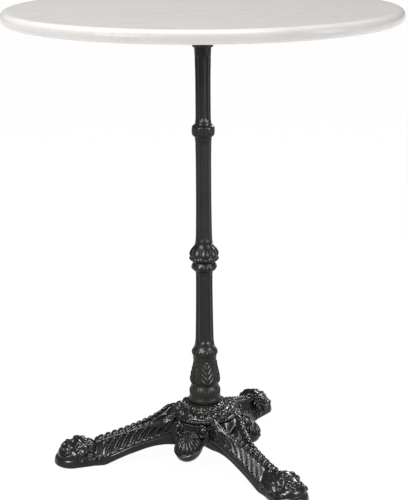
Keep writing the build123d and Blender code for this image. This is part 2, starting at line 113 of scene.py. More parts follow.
def resample(outline, step):
    """Points about step apart along a closed outline of (radius, height, smooth) corners.

    Runs between corners marked smooth follow a Catmull-Rom curve, the others are straight."""
    corners = np.array([c[:2] for c in outline], float)
    curved = [len(c) > 2 for c in outline]
    count = len(corners)
    made = []
    for i in range(count):
        a, b = corners[i], corners[(i + 1) % count]
        length = np.hypot(*(b - a))
        parts = max(1, round(length / step))
        t = np.arange(parts)[:, None] / parts
        if curved[i] and curved[(i + 1) % count]:
            before = corners[i - 1] if curved[i - 1] else a - (b - a)
            after = corners[(i + 2) % count] if curved[(i + 2) % count] else b + (b - a)
            run = 0.5 * (
                2 * a
                + (b - before) * t
                + (2 * before - 5 * a + 4 * b - after) * t**2
                + (3 * a - before - 3 * b + after) * t**3
            )
        else:
            run = a + (b - a) * t
        made.append(run)
    return np.vstack(made)


def turned_piece(name, outline, material, stands_for, relief=None, around=192, step=0.7):
    """A closed solid of revolution from an outline of (radius, height) corners, anticlockwise.

    relief(angle, height, radius) gives how far each point stands out from the surface, in millimetres."""
    profile = resample(outline, step)
    angle = np.arange(around) * 2 * math.pi / around
    run = np.roll(profile, -1, 0) - np.roll(profile, 1, 0)
    run /= np.maximum(np.hypot(run[:, 0], run[:, 1]), 1e-9)[:, None]
    radius = profile[:, 0][:, None] + 0 * angle[None, :]
    height = profile[:, 1][:, None] + 0 * angle[None, :]
    if relief is not None:
        lift = relief(angle[None, :] + 0 * radius, height, radius)
        radius = radius + lift * run[:, 1][:, None]
        height = height - lift * run[:, 0][:, None]
    points = np.stack([radius * np.cos(angle), radius * np.sin(angle), height], -1).reshape(-1, 3)
    rows = len(profile)
    i = np.arange(rows)[:, None]
    j = np.arange(around)[None, :]
    i2, j2 = (i + 1) % rows, (j + 1) % around
    quads = np.stack([i * around + j, i * around + j2, i2 * around + j2, i2 * around + j], -1)
    make_piece(name, points, quads.reshape(-1, 4), material, stands_for)


def ellipsoid(u, v, w, radii, least):
    """About how far each point lies outside an ellipsoid round the origin; least keeps its middle finite."""
    k0 = np.sqrt((u / radii[0]) ** 2 + (v / radii[1]) ** 2 + (w / radii[2]) ** 2)
    k1 = np.sqrt((u / radii[0] ** 2) ** 2 + (v / radii[1] ** 2) ** 2 + (w / radii[2] ** 2) ** 2)
    return k0 * (k0 - 1) / np.maximum(k1, least)


class Clay:
    """A block of clay: a grid of signed distances in millimetres that shapes are pressed onto or into."""

    def __init__(self, low, high, step):
        self.low, self.step = np.array(low, float), step
        self.size = [int(math.ceil((h - l) / step)) + 1 for l, h in zip(low, high)]
        self.field = np.full(self.size, 30.0, np.float32)

    def axes(self, window=None):
        """The three open coordinate arrays of a window of the grid, or of the whole grid."""
        window = window or [slice(0, n) for n in self.size]
        made = []
        for axis in range(3):
            line = self.low[axis] + self.step * np.arange(window[axis].start, window[axis].stop)
            shape = [1, 1, 1]
            shape[axis] = -1
            made.append(line.astype(np.float32).reshape(shape))
        return made

    def window(self, low, high):
        """The slices of the grid that cover a box."""
        made = []
        for axis in range(3):
            a = int(math.floor((low[axis] - self.low[axis]) / self.step))
            b = int(math.ceil((high[axis] - self.low[axis]) / self.step)) + 1
            a, b = max(0, min(a, self.size[axis])), max(0, min(b, self.size[axis]))
            made.append(slice(a, b))
        return made

    def join(self, distance, window=None, soft=0.0):
        """Adds a shape, with a soft fillet where it meets what is there."""
        key = tuple(window) if window else (slice(None),) * 3
        old = self.field[key]
        new = np.minimum(old, distance)
        if soft > 0:
            h = np.maximum(soft - np.abs(old - distance), 0) / soft
            new = new - h * h * soft / 4
        self.field[key] = new

    def cut(self, distance, window=None, soft=0.0):
        """Takes a shape away, with a softened edge."""
        key = tuple(window) if window else (slice(None),) * 3
        old = self.field[key]
        new = np.maximum(old, -distance)
        if soft > 0:
            h = np.maximum(soft - np.abs(old + distance), 0) / soft
            new = new + h * h * soft / 4
        self.field[key] = new

    def blob(self, centre, radii, soft=1.5, along=(1, 0, 0)):
        """An ellipsoid; its first radius runs along the direction along."""
        centre, radii = np.array(centre, float), np.array(radii, float)
        reach = radii.max() + soft + 2
        window = self.window(centre - reach, centre + reach)
        if any(w.stop <= w.start for w in window):
            return
        x, y, z = self.axes(window)
        x, y, z = x - centre[0], y - centre[1], z - centre[2]
        a = np.array(along, float)
        a /= np.linalg.norm(a)
        c = np.array((0, 0, 1), float) - a * np.dot((0, 0, 1), a)
        c /= np.linalg.norm(c)
        b = np.cross(c, a)
        u = x * a[0] + y * a[1] + z * a[2]
        v = x * b[0] + y * b[1] + z * b[2]
        w = x * c[0] + y * c[1] + z * c[2]
        self.join(ellipsoid(u, v, w, radii, 1e-6), window, soft)

    def strand(self, start, end, r1, r2, soft=1.0):
        """A round strand between two points, r1 thick at its start and r2 at its end."""
        start, end = np.array(start, float), np.array(end, float)
        reach = max(r1, r2) + soft + 2
        window = self.window(np.minimum(start, end) - reach, np.maximum(start, end) + reach)
        if any(w.stop <= w.start for w in window):
            return
        x, y, z = self.axes(window)
        d = end - start
        x, y, z = x - start[0], y - start[1], z - start[2]
        t = np.clip((x * d[0] + y * d[1] + z * d[2]) / max(np.dot(d, d), 1e-9), 0, 1)
        gap = np.sqrt((x - t * d[0]) ** 2 + (y - t * d[1]) ** 2 + (z - t * d[2]) ** 2)
        self.join(gap - (r1 + (r2 - r1) * t), window, soft)

    def curl(self, path, radii, soft=1.0):
        """A strand through several points."""
        for k in range(len(path) - 1):
            self.strand(path[k], path[k + 1], radii[k], radii[k + 1], soft)

    @staticmethod
    def ends(axis):
        """The slices of the grid without its last layer along an axis, and without its first."""
        low, high = [slice(None)] * 3, [slice(None)] * 3
        low[axis], high[axis] = slice(0, -1), slice(1, None)
        return tuple(low), tuple(high)

    def skin(self):
        """The clay's surface as points and quads: a surface net, whose points are then pulled onto it."""
        f = self.field
        shape = f.shape
        inside = f < 0
        cells = tuple(n - 1 for n in shape)
        total = np.zeros(cells + (3,), np.float32)
        count = np.zeros(cells, np.float32)
        for axis in range(3):
            low, high = self.ends(axis)
            fa, fb = f[low], f[high]
            cross = inside[low] != inside[high]
            t = np.where(cross, fa / np.where(cross, fa - fb, 1), 0)
            u, v = [k for k in range(3) if k != axis]
            for du in (0, 1):
                for dv in (0, 1):
                    pick = [slice(None)] * 3
                    pick[u] = slice(du, du + cells[u])
                    pick[v] = slice(dv, dv + cells[v])
                    c = cross[tuple(pick)]
                    total[..., axis] += t[tuple(pick)]
                    total[..., u] += du * c
                    total[..., v] += dv * c
                    count += c
        live = count > 0
        index = np.full(cells, -1, np.int64)
        index[live] = np.arange(int(live.sum()))
        corner = np.argwhere(live).astype(np.float32)
        points = corner + total[live] / count[live][:, None]
        quads = []
        for axis in range(3):
            u, v = (axis + 1) % 3, (axis + 2) % 3
            low, high = self.ends(axis)
            a, b = inside[low], inside[high]
            for flip, mask in ((False, a & ~b), (True, ~a & b)):
                at = np.argwhere(mask)
                at = at[(at[:, u] > 0) & (at[:, u] < shape[u] - 1)]
                at = at[(at[:, v] > 0) & (at[:, v] < shape[v] - 1)]
                ring = []
                for du, dv in ((1, 1), (0, 1), (0, 0), (1, 0)):
                    cell = at.copy()
                    cell[:, u] -= du
                    cell[:, v] -= dv
                    ring.append(index[cell[:, 0], cell[:, 1], cell[:, 2]])
                if flip:
                    ring = ring[::-1]
                quads.append(np.stack(ring, -1))
        points, quads = self.largest(points, np.vstack(quads))
        for _ in range(3):
            points = self.pull(points)
            points = self.relax(points, quads, 0.35)
        points = self.pull(points)
        return self.low + points * self.step, quads

    @staticmethod
    def largest(points, quads):
        """The points and quads of the largest connected piece, without the crumbs that a cut can leave."""
        group = np.arange(len(points))
        while True:
            lowest = group[quads].min(1)
            joined = group.copy()
            for k in range(4):
                np.minimum.at(joined, quads[:, k], lowest)
            joined = joined[joined]
            if (joined == group).all():
                break
            group = joined
        kept = group == np.bincount(group).argmax()
        renumbered = np.cumsum(kept) - 1
        return points[kept], renumbered[quads[kept[quads[:, 0]]]]

    def sample(self, points):
        """The field at points given in grid units."""
        top = np.array(self.field.shape) - 1.001
        p = np.clip(points, 0, top)
        base = p.astype(np.int64)
        t = p - base
        made = 0
        for dx in (0, 1):
            for dy in (0, 1):
                for dz in (0, 1):
                    weight = (
                        (t[:, 0] if dx else 1 - t[:, 0])
                        * (t[:, 1] if dy else 1 - t[:, 1])
                        * (t[:, 2] if dz else 1 - t[:, 2])
                    )
                    made = made + weight * self.field[base[:, 0] + dx, base[:, 1] + dy, base[:, 2] + dz]
        return made

    def pull(self, points):
        """Moves points a short way onto the surface."""
        here = self.sample(points) / self.step
        slope = np.zeros_like(points)
        for axis in range(3):
            side = np.zeros(3)
            side[axis] = 0.5
            slope[:, axis] = (self.sample(points + side) - self.sample(points - side)) / self.step
        size = np.maximum((slope**2).sum(1), 0.15)
        move = -slope * (here / size)[:, None]
        return points + np.clip(move, -0.4, 0.4)

    @staticmethod
    def relax(points, quads, amount):
        """Moves each point part of the way to the middle of its neighbours."""
        total = np.zeros_like(points)
        count = np.zeros(len(points))
        for k in range(4):
            a, b = quads[:, k], quads[:, (k + 1) % 4]
            for axis in range(3):
                total[:, axis] += np.bincount(a, points[b, axis], len(points))
                total[:, axis] += np.bincount(b, points[a, axis], len(points))
            count += np.bincount(a, minlength=len(points)) + np.bincount(b, minlength=len(points))
        middle = total / np.maximum(count, 1)[:, None]
        return points + amount * (middle - points)

# ------------------------------ materials


def new_material(name):
    """An empty node material and its Principled shader."""
    material = bpy.data.materials.new(name)
    material.use_nodes = True
    tree = material.node_tree
    tree.nodes.clear()
    out = tree.nodes.new("ShaderNodeOutputMaterial")
    shader = tree.nodes.new("ShaderNodeBsdfPrincipled")
    tree.links.new(shader.outputs[0], out.inputs["Surface"])
    return material, tree, shader


def plug(tree, inputs, values):
    """Gives each named input its value, or a link where the value is another node's output."""
    for key, value in values.items():
        if isinstance(value, bpy.types.NodeSocket):
            tree.links.new(value, inputs[key])
        else:
            inputs[key].default_value = value


def node(tree, kind, values=None, **settings):
    """A new node, with settings on the node and links or values on its inputs."""
    made = tree.nodes.new(kind)
    for key, value in settings.items():
        setattr(made, key, value)
    plug(tree, made.inputs, values or {})
    return made


def ramp(tree, factor, stops):
    """A colour ramp; each stop is (position, grey or colour)."""
    made = tree.nodes.new("ShaderNodeValToRGB")
    elements = made.color_ramp.elements
    while len(elements) < len(stops):
        elements.new(0.5)
    for element, (position, colour) in zip(elements, stops):
        element.position = position
        element.color = (*colour, 1) if isinstance(colour, tuple) else (colour, colour, colour, 1)
    tree.links.new(factor, made.inputs["Fac"])
    return made.outputs["Color"]


def noise(tree, place, scale, detail=4.0, rough=0.55, distortion=0.0):
    """A noise texture's value."""
    values = {"Vector": place, "Scale": scale, "Detail": detail, "Roughness": rough, "Distortion": distortion}
    return node(tree, "ShaderNodeTexNoise", values).outputs[0]


def blend_colour(tree, factor, a, b):
    """A colour mix; a and b are colours or sockets."""
    a, b = ((*side, 1) if isinstance(side, tuple) else side for side in (a, b))
    made = node(tree, "ShaderNodeMix", data_type="RGBA")
    plug(tree, made.inputs, {0: factor, 6: a, 7: b})
    return made.outputs[2]


def maths(tree, what, a, b=0.0, c=0.0):
    """A maths node's value."""
    return node(tree, "ShaderNodeMath", {0: a, 1: b, 2: c}, operation=what).outputs[0]


def bump_node(tree, shader, layers):
    """Stacks bump layers of (height socket, strength, depth in metres) on a shader's normal."""
    last = None
    for height, strength, depth in layers:
        made = node(tree, "ShaderNodeBump", {"Height": height, "Strength": strength, "Distance": depth})
        if last is not None:
            tree.links.new(last, made.inputs["Normal"])
        last = made.outputs["Normal"]
    tree.links.new(last, shader.inputs["Normal"])


def black_iron(name, colours, dull):
    """Black enamel over cast iron: a soft orange-peel skin, rubbed high points, and hollows that are rougher
    and darkened as painted shade.
    """
    material, tree, shader = new_material(name)
    place = node(tree, "ShaderNodeTexCoord").outputs["Object"]
    edge = node(tree, "ShaderNodeNewGeometry").outputs["Pointiness"]
    cloud = noise(tree, place, 40, 5)
    peel = noise(tree, place, 330, 3, 0.5)
    grain = noise(tree, place, 1100, 3, 0.6)
    base = ramp(tree, cloud, [(0.3, colours[0]), (0.7, colours[1])])
    high = ramp(tree, edge, [(0.515, 0.0), (0.60, 1.0)])
    # low marks the hollows, where the colour is darkened as painted shade and the roughness rises
    low = ramp(tree, edge, [(0.40, 1.0), (0.485, 0.0)])
    worn = maths(tree, "MULTIPLY", high, maths(tree, "MULTIPLY", cloud, 0.8))
    colour = blend_colour(tree, worn, base, colours[2])
    # painted shade: the hollows are darkened towards near-black
    colour = blend_colour(tree, maths(tree, "MULTIPLY", low, 0.7), colour, (0.0012, 0.0012, 0.0012))
    rough = maths(tree, "MULTIPLY_ADD", cloud, 0.14, dull)
    rough = maths(tree, "MULTIPLY_ADD", grain, 0.05, rough)
    rough = maths(tree, "MULTIPLY_ADD", low, 0.20, rough)
    look = {"Base Color": colour, "Roughness": rough, "IOR": 1.5, "Specular IOR Level": 0.20}
    plug(tree, shader.inputs, look)
    bump_node(tree, shader, [(peel, 0.25, 0.00016), (grain, 0.12, 0.00004), (cloud, 0.15, 0.0008)])
    return material


def marble():
    """Polished white marble: warm grey clouding, faint thin veins and a clear shine."""
    material, tree, shader = new_material("white_marble")
    place = node(tree, "ShaderNodeTexCoord").outputs["Object"]
    shaped = node(tree, "ShaderNodeMapping", {"Vector": place, "Rotation": (0.0, 0.0, 0.42)})
    shaped.inputs["Scale"].default_value = (1.0, 2.3, 1.6)
    swirl = noise(tree, shaped.outputs[0], 3.4, 6, 0.6, 0.6)
    cloud = noise(tree, shaped.outputs[0], 5.5, 6, 0.55, 0.9)
    fine = noise(tree, shaped.outputs[0], 26, 6, 0.6, 0.5)
    speck = noise(tree, place, 420, 3, 0.6)
    far = maths(tree, "ABSOLUTE", maths(tree, "SUBTRACT", swirl, 0.5))
    vein = ramp(tree, far, [(0.0, 1.0), (0.012, 0.35), (0.045, 0.0)])
    thin = maths(tree, "ABSOLUTE", maths(tree, "SUBTRACT", fine, 0.52))
    hair = ramp(tree, thin, [(0.0, 1.0), (0.008, 0.2), (0.02, 0.0)])
    patch = ramp(tree, cloud, [(0.42, 0.0), (0.68, 1.0)])
    base = blend_colour(tree, patch, (0.735, 0.708, 0.686), (0.675, 0.655, 0.638))
    base = blend_colour(tree, maths(tree, "MULTIPLY", vein, 0.26), base, (0.52, 0.52, 0.525))
    hair = maths(tree, "MULTIPLY", hair, maths(tree, "MULTIPLY", patch, 0.32))
    base = blend_colour(tree, hair, base, (0.50, 0.495, 0.49))
    base = blend_colour(tree, maths(tree, "MULTIPLY", speck, 0.05), base, (0.60, 0.59, 0.58))
    rough = maths(tree, "MULTIPLY_ADD", cloud, 0.10, 0.16)
    plug(tree, shader.inputs, {"Base Color": base, "Roughness": rough, "IOR": 1.49})
    glow = {"Subsurface Weight": 0.08, "Subsurface Radius": (0.004, 0.0035, 0.003), "Subsurface Scale": 0.6}
    plug(tree, shader.inputs, glow)
    bump_node(tree, shader, [(speck, 0.05, 0.00003), (cloud, 0.08, 0.0006)])
    return material


def zinc():
    """Zinc-plated steel: bright grey with a faint bluish cloud and fine scratches."""
    material, tree, shader = new_material("zinc_plate")
    place = node(tree, "ShaderNodeTexCoord").outputs["Object"]
    cloud = noise(tree, place, 120, 4)
    fine = noise(tree, place, 1400, 3, 0.7)
    colour = ramp(tree, cloud, [(0.3, (0.50, 0.51, 0.53)), (0.7, (0.62, 0.62, 0.61))])
    rough = maths(tree, "MULTIPLY_ADD", cloud, 0.2, 0.24)
    plug(tree, shader.inputs, {"Base Color": colour, "Metallic": 1.0, "Roughness": rough})
    bump_node(tree, shader, [(fine, 0.3, 0.00004)])
    return material


def brass():
    """Turned brass with fine rings left by the tool."""
    material, tree, shader = new_material("turned_brass")
    place = node(tree, "ShaderNodeTexCoord").outputs["Object"]
    cloud = noise(tree, place, 90, 4)
    rings = node(tree, "ShaderNodeTexWave", {"Vector": place, "Scale": 260.0, "Distortion": 0.4})
    rings.bands_direction = "Z"
    colour = ramp(tree, cloud, [(0.3, (0.60, 0.42, 0.16)), (0.7, (0.72, 0.53, 0.24))])
    rough = maths(tree, "MULTIPLY_ADD", cloud, 0.15, 0.25)
    plug(tree, shader.inputs, {"Base Color": colour, "Metallic": 1.0, "Roughness": rough})
    bump_node(tree, shader, [(rings.outputs[1], 0.3, 0.00005)])
    return material


def moulded(name, dark, light, roughness, grain_scale):
    """Moulded rubber or nylon: a dull dark surface with a fine grain and a little dust."""
    material, tree, shader = new_material(name)
    place = node(tree, "ShaderNodeTexCoord").outputs["Object"]
    cloud = noise(tree, place, 60, 5)
    grain = noise(tree, place, grain_scale, 3, 0.6)
    colour = ramp(tree, cloud, [(0.35, dark), (0.75, light)])
    rough = maths(tree, "MULTIPLY_ADD", grain, 0.2, roughness)
    plug(tree, shader.inputs, {"Base Color": colour, "Roughness": rough})
    bump_node(tree, shader, [(grain, 0.4, 0.00006)])
    return material


# two shades of enamel and the colour of the rubbed high points
BASE_BLACKS = ((0.0030, 0.0030, 0.0028), (0.0052, 0.0051, 0.0047), (0.020, 0.019, 0.018))
COLUMN_BLACKS = ((0.0030, 0.0029, 0.0025), (0.0048, 0.0046, 0.0040), (0.016, 0.015, 0.014))
IRON = black_iron("black_iron", BASE_BLACKS, 0.15)
SATIN = black_iron("satin_iron", COLUMN_BLACKS, 0.28)
MARBLE = marble()
ZINC = zinc()
BRASS = brass()
RUBBER = moulded("pad_rubber", (0.018, 0.018, 0.018), (0.04, 0.039, 0.037), 0.6, 900)
NYLON = moulded("glide_nylon", (0.022, 0.022, 0.023), (0.05, 0.05, 0.05), 0.45, 600)


def dress(names, material):
    """Gives carried-over pieces their finish."""
    for name in names:
        slots = nodes[name].data.materials
        slots.clear()
        slots.append(material)


dress(["spider_screws", "spider_washers", "leg_bolts", "leg_washers"], ZINC)
dress(["tie_rod", "top_nut", "top_washer", "bottom_nut", "bottom_washer"], ZINC)
dress(["stone_inserts"], BRASS)
dress(["stone_pads"], RUBBER)
dress(["glide_1", "glide_2", "glide_3"], NYLON)
dress(["top_spider"], IRON)

# ------------------------------ marble top

top_low, top_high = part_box("marble_top")
TOP_R = top_high.x / MM
TOP_Z, TOP_UNDER = top_high.z / MM, top_low.z / MM


def bullnose(radius, low, high):
    """The top's outline, from the middle of its underside round the edge to its middle on top."""
    half = (high - low) / 2
    corners = [(0.05, low), (radius - half - 60, low), (radius - half, low)]
    for k in range(1, 16):
        a = -math.pi / 2 + math.pi * k / 16
        corners.append((radius - half + half * math.cos(a), (low + high) / 2 + half * math.sin(a)))
    corners += [(radius - half, high), (radius - half - 60, high), (0.05, high)]
    return corners


turned_piece(
    "table_top", bullnose(TOP_R, TOP_UNDER, TOP_Z), MARBLE, ["marble_top"], around=256, step=5
)

# ------------------------------ column

BORE = 6.5
SPIGOT = 9.0
SOCKET = 9.2
FLUTES = 10


def flutes(angle, z, low, high, depth):
    """Ten hollow flutes between two heights, with sharp edges between them and rounded ends."""
    hollow = np.sqrt(np.cos(angle * FLUTES / 2) ** 2 + 0.015)
    ends = smooth_step(z, low, low + 7) * (1 - smooth_step(z, high - 7, high))
    return -depth * hollow * ends


def casting(radius):
    """0 in the bore and on spigots, 1 on the outside."""
    return smooth_step(radius, 10.0, 11.4)


upper_low, upper_high = (corner.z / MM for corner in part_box("upper_shaft"))
spider_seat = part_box("top_spider")[0].z / MM
JOINT_3 = upper_low + 10
upper_outline = [
    (BORE, upper_low),
    (SPIGOT, upper_low),
    (SPIGOT, JOINT_3),
    (12.9, JOINT_3),
    (13.0, JOINT_3 + 0.6, 1),
    (12.4, JOINT_3 + 4, 1),
    (12.1, 560, 1),
    (12.1, 612, 1),
    (12.6, 640, 1),
    (12.6, 652, 1),
    (12.9, spider_seat - 3, 1),
    (12.9, spider_seat),
    (SPIGOT, spider_seat),
    (SPIGOT, upper_high),
    (BORE, upper_high),
]


def upper_relief(angle, z, radius):
    return flutes(angle, z, JOINT_3 + 5, spider_seat - 10, 1.6) * casting(radius)


turned_piece(
    "column_upper", upper_outline, SATIN, ["upper_shaft"], upper_relief, around=240, step=1.0
)

middle_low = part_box("middle_shaft")[0].z / MM
JOINT_2 = middle_low + 10
middle_outline = [
    (BORE, middle_low),
    (SPIGOT, middle_low),
    (SPIGOT, JOINT_2),
    (13.3, JOINT_2),
    (13.5, JOINT_2 + 1, 1),
    (12.9, 380, 1),
    (12.4, 418, 1),
    (12.3, 481, 1),
    (12.7, 516, 1),
    (12.9, 522, 1),
    (13.3, 525.2),
    (15.4, 525.8, 1),
    (17.0, 527.8, 1),
    (17.4, 531, 1),
    (17.4, 538, 1),
    (16.9, 540.8, 1),
    (15.6, JOINT_3 - 0.5, 1),
    (14.9, JOINT_3),
    (SOCKET, JOINT_3),
    (SOCKET, upper_low - 0.5),
    (BORE, upper_low - 0.5),
]


def middle_relief(angle, z, radius):
    shaft = flutes(angle, z, JOINT_2 + 3, 520, 1.0)
    # band of twelve rounded petals
    petal = np.abs(np.cos(angle * 6)) ** 0.7
    arch = bump(z, 534.3, 8.2)
    band = (petal * 1.25 - 0.85) * arch
    return (shaft + band) * casting(radius)


turned_piece(
    "column_middle", middle_outline, SATIN, ["middle_shaft"], middle_relief, around=220, step=1
)

lower_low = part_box("lower_shaft")[0].z / MM
JOINT_1 = lower_low + 10
lower_outline = [
    (BORE, lower_low),
    (SPIGOT, lower_low),
    (SPIGOT, JOINT_1),
    (15.8, JOINT_1),
    (15.9, JOINT_1 + 0.6, 1),
    (15.2, 196, 1),
    (14.6, 213, 1),
    (13.9, 253, 1),
    (13.5, 293, 1),
    (13.6, 309, 1),
    (13.7, 312.6),
    (15.2, 313.2, 1),
    (17.8, 315.2, 1),
    (19.8, 319, 1),
    (18.8, 323.5, 1),
    (17.2, 326.4, 1),
    (17.3, 327.4, 1),
    (19.0, 328.7, 1),
    (22.0, 331.2, 1),
    (22.8, 333.4, 1),
    (22.2, 335.8, 1),
    (21.7, 337.1, 1),
    (22.3, 338.6, 1),
    (22.5, 340.6, 1),
    (21.8, 343.4, 1),
    (20.2, 346.6, 1),
    (18.2, 349.6, 1),
    (15.9, 352.6, 1),
    (14.3, 354.8, 1),
    (14.1, JOINT_2),
    (SOCKET, JOINT_2),
    (SOCKET, middle_low - 0.5),
    (BORE, middle_low - 0.5),
]


def lower_relief(angle, z, radius):
    shaft = flutes(angle, z, JOINT_1 + 4, 311, 1.8)
    # gadrooned bulb: eight lobes, each with a small lip
    lobe = np.abs(np.cos(angle * 4)) ** 0.8
    bulb = (lobe * 2.6 - 1.9) * smooth_step(z, 336.5, 340.5) * (1 - smooth_step(z, 348, 355))
    # corded ring under the bulb, and a smaller scalloped ring
    cord = 0.55 * np.cos(angle * 24 + (z - 333.4) * 0.55) * bump(z, 333.4, 3.6)
    scallop = (np.abs(np.cos(angle * 6)) * 1.3 - 0.9) * bump(z, 319.4, 5.4)
    return (shaft + bulb + cord + scallop) * casting(radius)


turned_piece(
    "column_lower", lower_outline, SATIN, ["lower_shaft"], lower_relief, around=240, step=0.95
)

foot_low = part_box("column_foot")[0].z / MM
SEAT = foot_low + 8
vase_outline = [
    (BORE, foot_low),
    (14.0, foot_low),
    (14.0, SEAT),
    (23.9, SEAT),
    (24.9, SEAT + 1.2, 1),
    (25.4, SEAT + 3.4, 1),
    (25.3, SEAT + 6.4, 1),
    (24.9, SEAT + 7.6, 1),
    (24.4, 107.0, 1),
    (24.2, 109.5, 1),
    (24.3, 112.5, 1),
    (24.1, 115.5, 1),
    (23.5, 119.0, 1),
    (22.6, 122.0, 1),
    (21.6, 124.6, 1),
    (21.4, 126.2, 1),
    (22.2, 128.8, 1),
    (23.3, 132.6, 1),
    (23.5, 136.2, 1),
    (23.0, 139.6, 1),
    (21.8, 145.8, 1),
    (20.3, 152.8, 1),
    (19.0, 160.0, 1),
    (18.6, 166.0, 1),
    (18.6, 171.0, 1),
    (18.9, 174.4, 1),
    (19.7, 176.2, 1),
    (20.0, 178.4, 1),
    (19.9, 181.4, 1),
    (19.2, 183.8, 1),
    (17.6, 186.2, 1),
    (16.6, 188.4, 1),
    (16.2, JOINT_1),
    (SOCKET, JOINT_1),
    (SOCKET, lower_low - 0.5),
    (BORE, lower_low - 0.5),
]
LEAVES = 5
LEAF_TURN = math.radians(-86)


def vase_relief(angle, z, radius):
    """Five hanging leaves with raised midribs and slanted veins, under a crown of leaf tips."""
    part = 2 * math.pi / LEAVES
    local = (angle - LEAF_TURN + part / 2) % part - part / 2
    across = local * radius
    # a leaf from 128 up to 167, widest below its middle
    t = np.clip((z - 127.5) / 39.0, 0, 1)
    half = 11.8 * np.sin(np.clip(t * 0.93 + 0.07, 0, 1) * math.pi) ** 0.55 * (1 - 0.35 * t)
    inside = smooth_step(half - np.abs(across), -0.4, 1.6)
    lift = inside * smooth_step(z, 127, 130) * (1 - smooth_step(z, 164, 168))
    rib = np.exp(-((across / 0.95) ** 2)) * 1.15
    veins = np.cos((z - np.abs(across) * 1.25 - 127) * 2 * math.pi / 9.0)
    veins = np.clip(veins, -0.6, 1) * smooth_step(np.abs(across), 0.9, 2.4)
    edge = np.exp(-(((half - np.abs(across)) / 0.9) ** 2)) * 0.5
    leaf = lift * (0.55 + rib + 0.95 * veins + edge) - 0.55
    leaf = leaf * smooth_step(z, 126.6, 129.5) * (1 - smooth_step(z, 165.5, 168.5))
    # small reeds between the leaves
    reeds = 0.35 * np.cos(angle * 40) * (1 - inside)
    reeds = reeds * smooth_step(z, 130, 134) * (1 - smooth_step(z, 160, 166))
    # short upright bars round the top band
    crown = 0.75 * np.cos((angle - LEAF_TURN) * 20) * bump(z, 180.0, 5.0)
    # beaded and reeded rings at the foot
    ring = 0.85 * np.cos(angle * 26) * bump(z, 115.5, 6.5)
    foot = 0.30 * np.cos(angle * 44) * bump(z, SEAT + 4.6, 4.0)
    return (leaf + reeds + crown + ring + foot) * smooth_step(radius, 14.5, 15.8)


turned_piece(
    "column_vase", vase_outline, SATIN, ["column_foot"], vase_relief, around=320, step=0.75
)

# ------------------------------ hub

hub_low, hub_high = (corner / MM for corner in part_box("hub"))
HUB_TOP, RIM = hub_high.z, hub_high.x
HUB_UNDER = 75.0
BOSS_R = 16.0
hub_outline = [
    (BORE, hub_low.z),
    (BOSS_R - 0.8, hub_low.z),
    (BOSS_R, hub_low.z + 1),
    (BOSS_R, HUB_UNDER - 2),
    (BOSS_R + 2, HUB_UNDER),
    (RIM - 3.5, HUB_UNDER),
    (RIM - 1.6, HUB_UNDER + 0.6, 1),
    (RIM - 0.2, HUB_UNDER + 2, 1),
    (RIM, HUB_UNDER + 4, 1),
    (RIM - 0.6, HUB_UNDER + 5.6, 1),
    (RIM - 2.2, HUB_UNDER + 6.2, 1),
    (RIM - 3.2, HUB_UNDER + 6.6),
    (51.2, 81.7, 1),
    (50.4, 83.4, 1),
    (48.4, 85.7, 1),
    (45.2, 87.6, 1),
    (41.6, 88.6, 1),
    (38.6, 88.9, 1),
    (36.9, 89.2),
    (36.4, 89.8, 1),
    (36.2, 91.6, 1),
    (35.2, 94.0, 1),
    (33.4, 95.6, 1),
    (31.0, 96.3, 1),
    (29.0, 96.2, 1),
    (28.0, 96.5, 1),
    (27.2, HUB_TOP, 1),
    (14.3, HUB_TOP),
    (14.3, SEAT - 8.5),
    (BORE, SEAT - 8.5),
]
EGGS = 14
BARS = 22


def hub_relief(angle, z, radius):
    """A ring of beads near the column, eggs with darts between them further out, and a corded rim."""
    part = 2 * math.pi / EGGS
    local = (angle + part / 2) % part - part / 2
    across = local * radius
    shift = (radius - 44.8) / 6.0
    on_top = smooth_step(z, 80.8, 82.2) * (1 - smooth_step(z, 88.85, 89.1))
    egg = np.sqrt(np.clip(1 - (across / 5.4) ** 2 - shift**2, 0, 1)) * 4.6
    ring = np.sqrt((across / 7.8) ** 2 + (shift * 0.9) ** 2)
    rim = np.exp(-(((ring - 1.0) / 0.12) ** 2)) * 1.7
    dart = np.exp(-(((np.abs(across) - part * radius / 2) / 1.1) ** 2)) * 2.2
    dart = dart * (1 - smooth_step(radius, 42, 50.5))
    field = (egg + rim + dart - 2.2) * on_top
    bars = np.cos(angle * BARS)
    on_ring = smooth_step(z, 90.2, 91.8) * (1 - smooth_step(z, 96.0, 96.45))
    beads = (np.sqrt(np.clip((bars + 0.45) / 1.45, 0, 1)) * 2.9 - 1.9) * on_ring
    cord = 0.6 * np.cos(angle * 48) * bump(z, HUB_UNDER + 3.8, 3.0) * smooth_step(radius, 52, 54)
    return field + beads * smooth_step(radius, 27.5, 29) + cord


turned_piece("hub_disc", hub_outline, IRON, ["hub"], hub_relief, around=400, step=0.85)


def rounded(a, b, soft):
    """The overlap of two distances, with its edge rounded off."""
    u, v = np.maximum(a + soft, 0), np.maximum(b + soft, 0)
    return np.minimum(np.maximum(a, b), -soft) + np.sqrt(u * u + v * v)


def curve(x, at, value, soft=0):
    """A line through a few points as a function of an open coordinate array, smoothed if asked."""
    line = np.interp(x.ravel(), at, value)
    if soft:
        window = np.hanning(2 * soft + 3)[1:-1]
        line = np.convolve(np.pad(line, soft, mode="edge"), window / window.sum(), mode="valid")
    return line.reshape(x.shape).astype(np.float32)


# ------------------------------ pendants

BUD = np.array((63.0, 0.0, 42.0))
BUD_RADII = (28.0, 21.8, 20.6)
BUD_TILT = math.radians(25)
LOBES = 20


